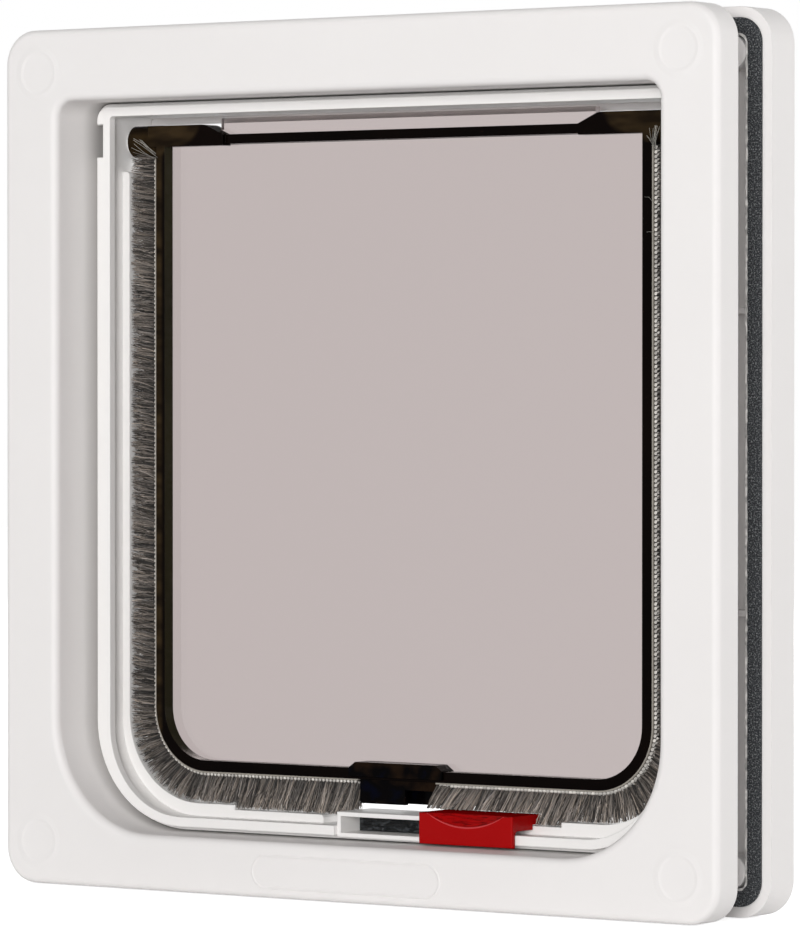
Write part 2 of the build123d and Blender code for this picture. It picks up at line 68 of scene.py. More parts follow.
# Brush tape and pile along the rim
TAPE_DEPTH = 22.05
TAPE_T = 0.6
TAPE_W = 4.8
PILE_DEPTH = 22.1
PILE_W = 2.8
PILE_FRONT = 19.25
PILE_TOP = 168.35

# Latch block, sealing ridge and pocket that the strands stop at
BLOCK_SIDE = 10.8
BLOCK_FACE = 20.2
RIDGE_HALF = 76.0
RIDGE_LOW = 18.9
RIDGE_R = 20.0
RIDGE_STEP = 45.3
RIDGE_STEP_LOW = 17.8
POCKET_SIDE = 12.2
POCKET_TOP = 19.2

# Lock slide and its beak
SLIDE_LEFT = 12.5
SLIDE_RIGHT = 37.8
SLIDE_TOP = 20.3
SLIDE_FACE = 10.6
BEAK_RIGHT = 18.9
BEAK_DEPTH = 22.8
BEAK_TOP = 23.3

# Funnel of the inner frame, with the depths between which its walls darken with painted shade
FUNNEL_HALF = 86.0
SHADE_FROM = 9.5
SHADE_TO = 17.5

# Inner side of the weather gasket
GASKET_HALF = 92.0
GASKET_LOW = 6.0
GASKET_HIGH = 192.0
GASKET_R = 2.0
GASKET_FACE = 21.4

# Screw places
SCREW_X = 88.0
SCREW_LOW = 10.0
SCREW_HIGH = 188.0


# Shader nodes
def new_material(name):
    mat = bpy.data.materials.new(name)
    mat.use_nodes = True
    tree = mat.node_tree
    return mat, tree, tree.nodes["Principled BSDF"]


def link(tree, a, b):
    tree.links.new(a, b)


def object_coords(tree, stretch=(1, 1, 1)):
    """The object's own coordinates in metres, each axis times its stretch."""
    coords = tree.nodes.new("ShaderNodeTexCoord")
    mapping = tree.nodes.new("ShaderNodeMapping")
    mapping.inputs["Scale"].default_value = stretch
    link(tree, coords.outputs["Object"], mapping.inputs["Vector"])
    return mapping.outputs["Vector"]


def position(tree):
    """X, Y and Z of the shaded point in metres."""
    split = tree.nodes.new("ShaderNodeSeparateXYZ")
    link(tree, object_coords(tree), split.inputs["Vector"])
    return split.outputs["X"], split.outputs["Y"], split.outputs["Z"]


def noise(tree, vector, scale, detail, mix=0.5):
    node = tree.nodes.new("ShaderNodeTexNoise")
    node.inputs["Scale"].default_value = scale
    node.inputs["Detail"].default_value = detail
    node.inputs["Roughness"].default_value = mix
    link(tree, vector, node.inputs["Vector"])
    return node.outputs["Fac"]


def ramp(tree, fac, stops):
    """Colour from stops of a place between 0 and 1 and a colour."""
    node = tree.nodes.new("ShaderNodeValToRGB")
    elements = node.color_ramp.elements
    while len(elements) < len(stops):
        elements.new(0.5)
    for element, (at, colour) in zip(elements, stops):
        element.position = at
        element.color = (*colour, 1)
    link(tree, fac, node.inputs["Fac"])
    return node.outputs["Color"]


def spread(tree, fac, low, high):
    """Number that goes from low to high as the factor goes from 0 to 1."""
    node = tree.nodes.new("ShaderNodeMapRange")
    node.inputs["To Min"].default_value = low
    node.inputs["To Max"].default_value = high
    link(tree, fac, node.inputs["Value"])
    return node.outputs["Result"]


def step_up(tree, value, low, high):
    """Smooth rise from 0 at the low end to 1 at the high end, both in millimetres."""
    node = tree.nodes.new("ShaderNodeMapRange")
    node.interpolation_type = "SMOOTHSTEP"
    node.inputs["From Min"].default_value = low * MM
    node.inputs["From Max"].default_value = high * MM
    link(tree, value, node.inputs["Value"])
    return node.outputs["Result"]


def calc(tree, operation, a, b=0.0):
    """Output of a maths node on two sockets or numbers."""
    node = tree.nodes.new("ShaderNodeMath")
    node.operation = operation
    for socket, value in zip(node.inputs, (a, b)):
        if isinstance(value, (int, float)):
            socket.default_value = value
        else:
            link(tree, value, socket)
    return node.outputs["Value"]


def recolour(mat, share, second):
    """Take a material's base colour to a second colour or socket as the share rises from 0 to 1."""
    tree = mat.node_tree
    base = tree.nodes["Principled BSDF"].inputs["Base Color"]
    node = tree.nodes.new("ShaderNodeMix")
    node.data_type = "RGBA"
    link(tree, share, node.inputs["Factor"])
    link(tree, base.links[0].from_socket, node.inputs["A"])
    if isinstance(second, tuple):
        node.inputs["B"].default_value = (*second, 1)
    else:
        link(tree, second, node.inputs["B"])
    link(tree, node.outputs["Result"], base)


BEVEL_SAMPLES = 4


def surface_normal(tree, bsdf, grain, strength, height, edge=0.0):
    """Fine relief of a height, on edges that are softened by a small radius."""
    bump = tree.nodes.new("ShaderNodeBump")
    bump.inputs["Strength"].default_value = strength
    bump.inputs["Distance"].default_value = height * MM
    link(tree, grain, bump.inputs["Height"])
    if edge:
        soft = tree.nodes.new("ShaderNodeBevel")
        soft.samples = BEVEL_SAMPLES
        soft.inputs["Radius"].default_value = edge * MM
        link(tree, soft.outputs["Normal"], bump.inputs["Normal"])
    link(tree, bump.outputs["Normal"], bsdf.inputs["Normal"])


# Moulded plastics
GRAIN_HEIGHT = 0.03
ROUGH_SWING = 0.05
PLASTIC_IOR = 1.5


def moulded(name, tones, rough, relief, gloss, edge=0.0, grain=2600.0, cloud=24.0, detail=4.0):
    """Injection-moulded plastic: faint clouding, fine grain and soft edges."""
    mat, tree, bsdf = new_material(name)
    at = object_coords(tree)
    clouds = noise(tree, at, cloud, detail)
    link(tree, ramp(tree, clouds, tones), bsdf.inputs["Base Color"])
    fine = noise(tree, at, grain, detail=2.0)
    link(tree, spread(tree, fine, rough - ROUGH_SWING, rough + ROUGH_SWING), bsdf.inputs["Roughness"])
    surface_normal(tree, bsdf, fine, relief, GRAIN_HEIGHT, edge)
    bsdf.inputs["IOR"].default_value = PLASTIC_IOR
    bsdf.inputs["Specular IOR Level"].default_value = gloss
    return mat


def faint(dark, light):
    """Stops for a slight clouding between two close tones."""
    return [(0.3, dark), (0.7, light)]


WHITE = faint((0.854, 0.829, 0.817), (0.868, 0.843, 0.831))
LINER_WHITE = faint((0.876, 0.858, 0.842), (0.890, 0.872, 0.856))
RED = faint((0.345, 0.0022, 0.0026), (0.375, 0.0026, 0.0030))
DARK_TOP_RED = faint((0.25, 0.0016, 0.0020), (0.30, 0.0020, 0.0024))
# Paler red that paints the highlight along the scoop's rim
HIGHLIGHT_RED = faint((0.48, 0.032, 0.036), (0.60, 0.050, 0.055))
RIM_BLACK = faint((0.0014, 0.0008, 0.0007), (0.0040, 0.0020, 0.0014))
# Paler olive-brown of painted light, for the rim's inward walls
LIT_WALL_BROWN = faint((0.012, 0.010, 0.004), (0.026, 0.022, 0.009))
CUT_CLEAR = faint((0.56, 0.490, 0.485), (0.60, 0.525, 0.520))

# The latch block's gloss black has painted reflections: blue and brown clouds, a few millimetres across
BLUE_BLACK = (0.0010, 0.0016, 0.0070)
DEEP_BLACK = (0.0012, 0.0009, 0.0011)
BROWN_BLACK = (0.0125, 0.0064, 0.0032)
REFLECTION_BLACK = [(0.34, BLUE_BLACK), (0.42, DEEP_BLACK), (0.46, DEEP_BLACK), (0.58, BROWN_BLACK)]
REFLECTION_CLOUDS = {"cloud": 110.0, "detail": 3.0}

white = moulded("white_plastic", WHITE, rough=0.50, relief=0.05, gloss=0.35, edge=0.35)
white_liner = moulded("white_liner", LINER_WHITE, rough=0.40, relief=0.04, gloss=0.40, edge=0.30)
red = moulded("red_plastic", RED, rough=0.25, relief=0.06, gloss=0.06, edge=0.25)
red_top = moulded("red_top", DARK_TOP_RED, rough=0.60, relief=0.06, gloss=0.0)
red_highlight = moulded("red_highlight", HIGHLIGHT_RED, rough=0.20, relief=0.06, gloss=0.25)
# Black plastic with the painted blue and brown reflections, for the latch block and the magnet cover
black = moulded(
    "black_plastic",
    REFLECTION_BLACK,
    rough=0.16,
    relief=0.08,
    gloss=0.02,
    edge=0.25,
    grain=1400.0,
    **REFLECTION_CLOUDS,
)
# The rim's inward walls: the smoked plastic painted paler, as light coming through it
rim_wall = moulded("smoked_rim_lit_wall", LIT_WALL_BROWN, rough=0.20, relief=0.05, gloss=0.03, edge=0.25, grain=900.0)
cut_end = moulded("smoked_cut_end", CUT_CLEAR, rough=0.45, relief=0.10, gloss=0.2, grain=1800.0)

# Brown glow painted on the rim: it fades in past a rounded corner, round the ears and down the left-hand side
GLOW_X = 64.0
GLOW_Z = 168.0
GLOW_NEAR = 2.4
GLOW_FAR = 3.6
EAR_LOW = 169.0
EAR_INNER = 50.0
GLOW_STREAKS = {"scale": 330.0, "detail": 2.0}
GLOW_STRETCH = (0.3, 1, 1)
PAINTED_GLOW_BROWNS = [
    (0.34, (0.0100, 0.0062, 0.0032)),
    (0.48, (0.0190, 0.0120, 0.0056)),
    (0.66, (0.0340, 0.0215, 0.0095)),
]


def past(tree, value, start):
    """How far a value in metres lies past a start in millimetres, or 0."""
    return calc(tree, "MAXIMUM", calc(tree, "SUBTRACT", value, start * MM))


def rim_material():
    """Thick smoked plastic: near black, with a painted brown glow round the ears and the left-hand rim's
    edge.
    """
    mat = moulded("smoked_rim", RIM_BLACK, rough=0.14, relief=0.05, gloss=0.02, edge=0.25, grain=900.0)
    tree = mat.node_tree
    x, _, z = position(tree)
    wide = calc(tree, "ABSOLUTE", x)
    left = calc(tree, "LESS_THAN", x)
    ear = calc(tree, "GREATER_THAN", z, EAR_LOW * MM)
    beside = calc(tree, "MULTIPLY", past(tree, wide, GLOW_X), calc(tree, "MAXIMUM", left, ear))
    above = calc(tree, "MULTIPLY", past(tree, z, GLOW_Z), step_up(tree, wide, EAR_INNER, GLOW_X))
    beside_square = calc(tree, "MULTIPLY", beside, beside)
    above_square = calc(tree, "MULTIPLY", above, above)
    off_corner = calc(tree, "SQRT", calc(tree, "ADD", beside_square, above_square))
    streaks = noise(tree, object_coords(tree, GLOW_STRETCH), **GLOW_STREAKS)
    # Painted glow: brown streaks taken into the base colour past the corner
    recolour(mat, step_up(tree, off_corner, GLOW_NEAR, GLOW_FAR), ramp(tree, streaks, PAINTED_GLOW_BROWNS))
    return mat


# Colour of the painted shade at the funnel's joint with the liner
PAINTED_JOINT_SHADE = (0.42, 0.405, 0.395)


def funnel_material():
    """The white plastic of the funnel, whose walls darken with painted shade toward the joint with the liner.
    """
    mat = moulded("white_funnel", WHITE, rough=0.50, relief=0.05, gloss=0.35)
    tree = mat.node_tree
    _, y, _ = position(tree)
    # Painted shade: the base colour darkens between these depths, toward the joint with the liner
    recolour(mat, step_up(tree, y, FRONT + SHADE_FROM, FRONT + SHADE_TO), PAINTED_JOINT_SHADE)
    return mat


rim_dark = rim_material()
white_funnel = funnel_material()


# Other materials
def grained(name, tones, rough, grain, stretch=(1, 1, 1), relief=0.0, height=0.0, gloss=0.5, metal=0.0):
    """Surface whose tone, roughness and relief follow one grain."""
    mat, tree, bsdf = new_material(name)
    marks = noise(tree, object_coords(tree, stretch), **grain)
    link(tree, ramp(tree, marks, tones), bsdf.inputs["Base Color"])
    link(tree, spread(tree, marks, *rough), bsdf.inputs["Roughness"])
    if relief:
        surface_normal(tree, bsdf, marks, relief, height)
    bsdf.inputs["Specular IOR Level"].default_value = gloss
    bsdf.inputs["Metallic"].default_value = metal
    return mat


# Finger scoop: the red, with fine dark streaks across it that paint the pile's shadows
red_dish = grained(
    "red_dish",
    tones=[(0.36, (0.150, 0.0012, 0.0015)), (0.50, (0.290, 0.0020, 0.0024)), (0.60, (0.350, 0.0026, 0.0030))],
    rough=(0.2, 0.4),
    grain={"scale": 2300.0, "detail": 3.0, "mix": 0.6},
    stretch=(0.12, 1, 1),
    relief=0.3,
    height=0.1,
    gloss=0.03,
)

# Closed-cell foam: dark, with fine paler specks where cells are cut open
foam = grained(
    "foam",
    tones=[(0.40, (0.007, 0.008, 0.010)), (0.53, (0.026, 0.029, 0.034)), (0.64, (0.300, 0.310, 0.310))],
    rough=(0.75, 0.95),
    grain={"scale": 2700.0, "detail": 5.0, "mix": 0.75},
    relief=0.9,
    height=0.2,
)

# Pressed ferrite: near black, with a crumpled glossy skin
ferrite = grained(
    "ferrite",
    tones=[(0.42, (0.002, 0.003, 0.004)), (0.52, (0.010, 0.012, 0.014)), (0.62, (0.060, 0.066, 0.072))],
    rough=(0.08, 0.35),
    grain={"scale": 420.0, "detail": 5.0, "mix": 0.65},
    stretch=(1, 1, 2.4),
    relief=1.0,
    height=2.0,
    gloss=0.45,
)

# Drawn wire with faint lengthwise marks
steel = grained(
    "steel",
    tones=[(0.3, (0.42, 0.42, 0.43)), (0.7, (0.60, 0.60, 0.61))],
    rough=(0.25, 0.45),
    grain={"scale": 2400.0, "detail": 3.0},
    stretch=(0.05, 1, 1),
    metal=1.0,
)

SMOKE_TINT = (0.29, 0.145, 0.125, 1)
SMOKE_DENSITY = 470.0
SMOKE_IOR = 1.49
SMOKE_ROUGH = (0.015, 0.05)
SMOKE_GRAIN = {"scale": 700.0, "detail": 2.0}


def smoked_plastic():
    """Clear smoked moulding: its tint comes from the length of plastic that light crosses."""
    mat, tree, bsdf = new_material("smoked_plastic")
    fine = noise(tree, object_coords(tree), **SMOKE_GRAIN)
    link(tree, spread(tree, fine, *SMOKE_ROUGH), bsdf.inputs["Roughness"])
    bsdf.inputs["Base Color"].default_value = (1, 1, 1, 1)
    bsdf.inputs["Transmission Weight"].default_value = 1.0
    bsdf.inputs["IOR"].default_value = SMOKE_IOR
    tint = tree.nodes.new("ShaderNodeVolumeAbsorption")
    tint.inputs["Color"].default_value = SMOKE_TINT
    tint.inputs["Density"].default_value = SMOKE_DENSITY
    link(tree, tint.outputs["Volume"], tree.nodes["Material Output"].inputs["Volume"])
    return mat


TONE_LAYER = "tone"
SHEEN_GRAIN = {"scale": 5200.0, "detail": 2.0}
SHEEN_SWING = 0.1


def strand_material(name, rough):
    """Fibres that carry their own tone, with a slightly uneven gloss."""
    mat, tree, bsdf = new_material(name)
    tone = tree.nodes.new("ShaderNodeVertexColor")
    tone.layer_name = TONE_LAYER
    link(tree, tone.outputs["Color"], bsdf.inputs["Base Color"])
    fine = noise(tree, object_coords(tree), **SHEEN_GRAIN)
    link(tree, spread(tree, fine, rough - SHEEN_SWING, rough + SHEEN_SWING), bsdf.inputs["Roughness"])
    return mat


smoked = smoked_plastic()
bristle = strand_material("bristle", rough=0.55)
yarn = strand_material("yarn", rough=0.75)

LOOKS = {
    "inner_frame": white,
    "screw_caps": white,
    "outer_frame": white,
    "tunnel_liner": white_liner,
    "weather_gasket": foam,
    "sill_magnet": ferrite,
    "flap_magnet": ferrite,
    "flap": smoked,
    "latch_block": black,
    "magnet_cover": black,
    "hinge_pin_left": steel,
    "hinge_pin_right": steel,
    "lock_slide": red,
}
for node_name, look in LOOKS.items():
    nodes[node_name].data.materials.clear()
    nodes[node_name].data.materials.append(look)

# Faces with a material of their own are told by their place and by how far they turn to an axis
NEAR = 0.05
END_NEAR = 0.2
SQUARE_ON = 0.99
EDGE_ON = 0.1
END_ON = 0.9
WALL_TILT = 0.5
LEVEL = 0.95
DISH_TURN = 0.3
DISH_LOW = 0.25


def looks_inward(face):
    """True where a face looks toward the middle of the opening."""
    return face.normal.x * face.center.x + face.normal.z * (face.center.z - MID_Z * MM) < 0


def darken_rim(mesh):
    """The thick rim, ears and bar look dark, and their inward walls in front of the pane take a paler brown
    of painted light; the pane's two faces and the strip stay clear.
    """
    clear, rim, wall, end = range(4)
    for mat in (rim_dark, rim_wall, cut_end):
        mesh.materials.append(mat)
    for face in mesh.polygons:
        depth = face.center.y / MM - FRONT
        off_pane = min(abs(depth - PANE_FRONT), abs(depth - PANE_BACK))
        is_pane = abs(face.normal.y) > SQUARE_ON and off_pane < NEAR
        before_pane = abs(face.normal.y) < EDGE_ON and depth < PANE_FRONT
        # Inward walls in front of the pane take the paler brown of painted light
        is_wall = before_pane and looks_inward(face) and face.center.z < PILE_TOP * MM
        behind = depth > PANE_FRONT - NEAR
        is_strip = behind and face.center.z > STRIP_LOW * MM
        off_end = abs(abs(face.center.x) - STRIP_HALF * MM)
        is_end = behind and off_end < END_NEAR * MM and abs(face.normal.x) > END_ON
        face.material_index = rim
        if is_wall:
            face.material_index = wall
        if is_pane or is_strip:
            face.material_index = clear
        if is_end:
            face.material_index = end


def shade_funnel(mesh):
    """The funnel's inward walls take the white with painted shade toward the joint."""
    mesh.materials.append(white_funnel)
    for face in mesh.polygons:
        is_inner = abs(face.center.x) < FUNNEL_HALF * MM and abs(face.normal.y) < WALL_TILT
        face.material_index = 1 if looks_inward(face) and is_inner else 0


def shade_scoop(mesh):
    """The finger scoop has streaks of painted shadow, and the top is a darker, matt red."""
    body, dish, dark_top = range(3)
    mesh.materials.append(red_dish)
    mesh.materials.append(red_top)
    for face in mesh.polygons:
        is_top = face.center.z > (SLIDE_TOP - NEAR) * MM
        is_below = face.center.z < (SLIDE_TOP - NEAR) * MM
        # The dish takes the red with painted shadow streaks; the top takes the darker, matt red
        is_dish = face.normal.y < -DISH_TURN and DISH_LOW < face.normal.z < LEVEL and is_below
        is_dark_top = face.normal.z > LEVEL and is_top
        face.material_index = dish if is_dish else dark_top if is_dark_top else body


darken_rim(nodes["flap"].data)
shade_funnel(nodes["inner_frame"].data)
shade_scoop(nodes["lock_slide"].data)


# Meshes
def make_mesh(name, points, faces, mat, tones=None, smooth=True):
    """Object from points in millimetres (X, depth, Z) and a list of faces."""
    points = np.asarray(points, float)
    world_points = np.column_stack((points[:, 0], points[:, 1] + FRONT, points[:, 2])) * MM
    mesh = bpy.data.meshes.new(name)
    mesh.from_pydata(world_points.tolist(), [], [list(map(int, f)) for f in faces])
    if tones is not None:
        layer = mesh.color_attributes.new(TONE_LAYER, "FLOAT_COLOR", "POINT")
        colours = np.column_stack((tones, np.ones(len(tones)))).astype(np.float32)
        layer.data.foreach_set("color", colours.ravel())
    mesh.polygons.foreach_set("use_smooth", [smooth] * len(mesh.polygons))
    mesh.materials.append(mat)
    mesh.update()
    obj = bpy.data.objects.new(name, mesh)
    bpy.context.scene.collection.objects.link(obj)
    return obj


def loft(rings, sides, closed=False):
    """Four-sided faces between rings of points that follow each other."""
    faces = []
    for i in range(rings if closed else rings - 1):
        here = i * sides
        there = (i + 1) % rings * sides
        for a in range(sides):
            b = (a + 1) % sides
            faces.append((here + a, here + b, there + b, there + a))
    return faces


def last_cap(rings, sides):
    """Face that closes a loft's last ring."""
    return tuple((rings - 1) * sides + a for a in range(sides))


def capped_loft(rings, sides):
    """A loft that is closed at both ends."""
    return loft(rings, sides) + [tuple(range(sides - 1, -1, -1)), last_cap(rings, sides)]


def join(*parts):
    """One set of points, faces and tones from several."""
    points = []
    faces = []
    tones = []
    first = 0
    for more, more_faces, more_tones in parts:
        points.append(np.asarray(more, float))
        faces += [tuple(first + int(j) for j in f) for f in more_faces]
        tones.append(np.asarray(more_tones, float))
        first += len(more)
    return np.vstack(points), faces, np.vstack(tones)


def mirror(points, faces, side):
    """The mesh on its own side, with its faces still looking outward."""
    points[:, 0] *= side
    return points, [f[::-1] for f in faces] if side == LEFT else faces


def tinted(level, tint):
    """Colours from levels of grey and the share that each channel keeps."""
    return np.column_stack([level * share for share in tint])


# Path of the tape round the rim, from the hinge down to the latch block
SIDE_RUN = PILE_TOP - RIM_LOW - RIM_R
CORNER_RUN = math.pi / 2 * (RIM_R + TAPE_T)
FOOT_RUN = RIM_HALF - RIM_R - BLOCK_SIDE
PATH_RUN = SIDE_RUN + CORNER_RUN + FOOT_RUN


def path_at(t, grow=TAPE_T):
    """Point, outward normal and tangent in X and Z at distance t along the right-hand tape."""
    t = np.asarray(t, float)
    corner_x = RIM_HALF - RIM_R
    corner_z = RIM_LOW + RIM_R
    r = RIM_R + grow
    turn = np.clip((t - SIDE_RUN) / CORNER_RUN, 0, 1) * math.pi / 2
    normal = np.column_stack((np.cos(turn), -np.sin(turn)))
    tangent = np.column_stack((-np.sin(turn), -np.cos(turn)))
    down = np.clip(SIDE_RUN - t, 0, None)
    along = np.clip(t - SIDE_RUN - CORNER_RUN, 0, None)
    x = corner_x + r * normal[:, 0] - along
    z = corner_z + r * normal[:, 1] + down
    return np.column_stack((x, z)), normal, tangent


def foot_share(t, run):
    """0 along the side, rising to 1 over a run that starts halfway round the corner."""
    return np.clip((t - SIDE_RUN - CORNER_RUN / 2) / run, 0, 1)


def ridge_distance(x, z, gap):
    """Below zero while a point is inside the ridge's opening by more than the gap."""
    low = np.where(np.abs(x) < RIDGE_STEP, RIDGE_STEP_LOW, RIDGE_LOW)
    low = np.where(np.abs(x) < POCKET_SIDE, POCKET_TOP, low)
    past_x = np.abs(x) - (RIDGE_HALF - RIDGE_R)
    past_z = (RIDGE_LOW + RIDGE_R) - z
    corner = np.hypot(np.maximum(past_x, 0), np.maximum(past_z, 0)) - RIDGE_R
    flat = np.maximum(np.abs(x) - RIDGE_HALF, low - z)
    return np.where((past_x > 0) & (past_z > 0), corner, flat) + gap


# Pile: strands stand in clumps, and in finer locks of one lean and one tone
STRANDS = 15500
STRAND_R = (0.065, 0.11)
CLUMP = 0.95
LOCK = 0.23
ROWS = 5

# Leans are slopes along the tape: on the side, gained along the foot, and gained close to the latch block
SIDE_LEAN = -0.14
FOOT_LEAN = {LEFT: -0.12, RIGHT: 0.54}
FOOT_TURN = {LEFT: 22.0, RIGHT: 20.0}
BLOCK_LEAN = {LEFT: 0.0, RIGHT: 0.28}
BLOCK_TURN = 22.0
CLUMP_LEAN = 0.06
LOCK_LEAN = 0.09
STRAND_LEAN = 0.05
GATHER = 0.025

# Slopes toward the room: the front strands splay out, the back ones stand straight
SPLAY = 0.13
CLUMP_SPLAY = 0.03
STRAND_SPLAY = 0.02
FRONT_JITTER = 0.3

# Lengths: some strands reach to the ridge, the others stop short of it by a share
LONGEST = 10.0
HALVINGS = 18
RIDGE_GAP = 0.12
FULL_SHARE = 0.45
FULL_FROM = {LEFT: 0.88, RIGHT: 0.95}
SHORT = (0.45, 0.92)
BEAK_COVER = 5.0

# Bend of a strand, and the share of its length at which it bends
LOCK_BEND = 0.20
STRAND_BEND = 0.08
BEND_AT = (0.4, 0.65)

# Tones, with painted light and shade: dark and pale locks alternate to paint the shade between locks, the
# sill's strands are painted paler, and roots are darker than tips as painted shade
FIBRE = 0.165
FIBRE_SPREAD = 0.35
FIBRE_LIMITS = (0.012, 0.5)
FIBRE_WARMTH = 0.03
FIBRE_TINT = (1.12, 0.97, 0.85)
DARK_SHARE_ODD = 0.66
DARK_SHARE_EVEN = 0.14
DARK_LOCK = 0.2
PALE_LOCK = 1.15
LOCK_SPREAD = 0.25
SILL_PAINTED_LIGHT = 0.45
SILL_RUN = 20.0
ROOT_TONE = 0.4
TIP_TONE = 1.25


def mean_lean(t, side):
    """Slope of the strands along the tape, before the clumps and locks stray from it."""
    near_block = np.clip((t - PATH_RUN + BLOCK_TURN) / BLOCK_TURN, 0, 1)
    return SIDE_LEAN + FOOT_LEAN[side] * foot_share(t, FOOT_TURN[side]) + BLOCK_LEAN[side] * near_block


def free_length(root, aim):
    """Length that each strand can have before it meets the ridge, found by halving."""
    low = np.zeros(len(root))
    high = np.full(len(root), LONGEST)
    for _ in range(HALVINGS):
        half = (low + high) / 2
        tip = root + aim * half[:, None]
        inside = ridge_distance(tip[:, 0], tip[:, 1], RIDGE_GAP) < 0
        low = np.where(inside, half, low)
        high = np.where(inside, high, half)
    return low


def lock_shade(t, lock, row):
    """Tone of each strand's lock, as a share of the fibre's own: dark locks paint the shade between locks,
    and the sill's strands are painted paler.
    """
    locks = (lock.max() + 1, ROWS)
    odd = (np.arange(locks[0])[:, None] + np.arange(ROWS)) % 2
    # Dark locks paint the shade in the gaps between locks
    dark = rng.random(locks) < np.where(odd, DARK_SHARE_ODD, DARK_SHARE_EVEN)
    shade = np.where(dark, DARK_LOCK, PALE_LOCK)[lock, row] * rng.lognormal(0, LOCK_SPREAD, locks)[lock, row]
    # Painted light: strands along the sill are made paler
    return shade * (1 + SILL_PAINTED_LIGHT * foot_share(t, SILL_RUN))


# Room that the strands leave for the lock slide and its beak
SLIDE_GAP = (0.10, 0.35)
SLIDE_MARGIN = 0.3
BEAK_GAP = 0.15
BEAK_REACH = 1.1
SHORTEST_SHARE = 0.1
LEAST_DROP = 0.01


def slide_share(roots, reach):
    """Share of each strand that is left where the lock slide or its beak stands below it."""
    tips = roots + reach
    rest = SLIDE_TOP + rng.uniform(*SLIDE_GAP, len(roots))
    beak = (tips[:, 0] < BEAK_RIGHT) & (np.abs(roots[:, 1] - BEAK_DEPTH) < BEAK_REACH)
    rest = np.where(beak, BEAK_TOP + BEAK_GAP, rest)
    above = (tips[:, 0] > 0) & (tips[:, 0] < SLIDE_RIGHT + SLIDE_MARGIN) & (tips[:, 2] < rest)
    share = (roots[:, 2] - rest) / np.maximum(-reach[:, 2], LEAST_DROP)
    return np.where(above, np.clip(share, SHORTEST_SHARE, 1.0), 1.0)


# Front strands lap over the latch block's face on the right-hand side
BLOCK_LAP = {LEFT: 0.0, RIGHT: 2.4}
LAP_ROWS = 0.3
LAP_ROOT = (0.1, 0.3)
LAP_TIP = (0.2, 0.6)
BESIDE_BLOCK = (0, 0.5)


def pass_block(roots, tips, lap):
    """Front strands that lean over the latch block cross its face by the lap; the others stop beside it."""
    over = tips[:, 0] < BLOCK_SIDE
    front = over & (roots[:, 1] < PILE_DEPTH - PILE_W * LAP_ROWS) & (lap > 0)
    n = int(front.sum())
    roots[front, 1] = BLOCK_FACE - rng.uniform(*LAP_ROOT, n)
    tips[front, 1] = BLOCK_FACE - rng.uniform(*LAP_TIP, n)
    tips[front, 0] = np.maximum(tips[front, 0], BLOCK_SIDE - lap)
    beside = over & ~front
    tips[beside, 0] = BLOCK_SIDE + rng.uniform(*BESIDE_BLOCK, int(beside.sum()))


def tufts(count, side):
    """Roots, middles and tips of one side's strands, as arrays of X, depth and Z, and their shade."""
    t = rng.uniform(0, PATH_RUN, count)
    across = rng.uniform(-1, 1, count)
    depth = PILE_DEPTH + across * PILE_W / 2
    root, normal, tangent = path_at(t)
    row = np.floor((across + 1) / 2 * ROWS).astype(int)
    clump = np.floor(t / CLUMP).astype(int)
    clumps = (clump.max() + 1, ROWS)
    lock = np.floor(t / LOCK).astype(int)
    locks = (lock.max() + 1, ROWS)
    lean = mean_lean(t, side) + rng.normal(0, CLUMP_LEAN, clumps)[clump, row]
    lean += rng.normal(0, LOCK_LEAN, locks)[lock, row]
    lean += rng.normal(0, STRAND_LEAN, count)
    lean += ((clump + 0.5) * CLUMP - t) * GATHER
    fore = SPLAY * across - SPLAY + rng.normal(0, CLUMP_SPLAY, clumps)[clump, row]
    fore += rng.normal(0, STRAND_SPLAY, count)
    aim = normal + tangent * lean[:, None]
    aim /= np.linalg.norm(aim, axis=1)[:, None]
    near_beak = (root[:, 0] < BEAK_RIGHT + BEAK_COVER) & (root[:, 1] < RIM_LOW)
    full = (rng.random(count) < FULL_SHARE) | near_beak
    share = np.where(full, rng.uniform(FULL_FROM[side], 1.0, count), rng.uniform(*SHORT, count))
    length = free_length(root, aim) * share
    roots = np.column_stack((root[:, 0], depth, root[:, 1]))
    reach = np.column_stack((aim[:, 0], fore, aim[:, 1])) * length[:, None]
    if side == RIGHT:
        reach *= slide_share(roots, reach)[:, None]
    tips = roots + reach
    tips[:, 1] = np.maximum(tips[:, 1], PILE_FRONT + rng.uniform(0, FRONT_JITTER, count))
    pass_block(roots, tips, BLOCK_LAP[side])
    bend = rng.normal(0, LOCK_BEND, locks)[lock, row] + rng.normal(0, STRAND_BEND, count)
    wave = bend[:, None] * np.column_stack((tangent[:, 0], np.zeros(count), tangent[:, 1]))
    mids = roots + (tips - roots) * rng.uniform(*BEND_AT, (count, 1)) + wave
    mids[:, 0] = np.where(tips[:, 0] >= BLOCK_SIDE, np.maximum(mids[:, 0], BLOCK_SIDE), mids[:, 0])
    return roots, mids, tips, lock_shade(t, lock, row)


STRAND_SIDES = 3
TIP_TAPER = 0.3
UPRIGHT = 0.9


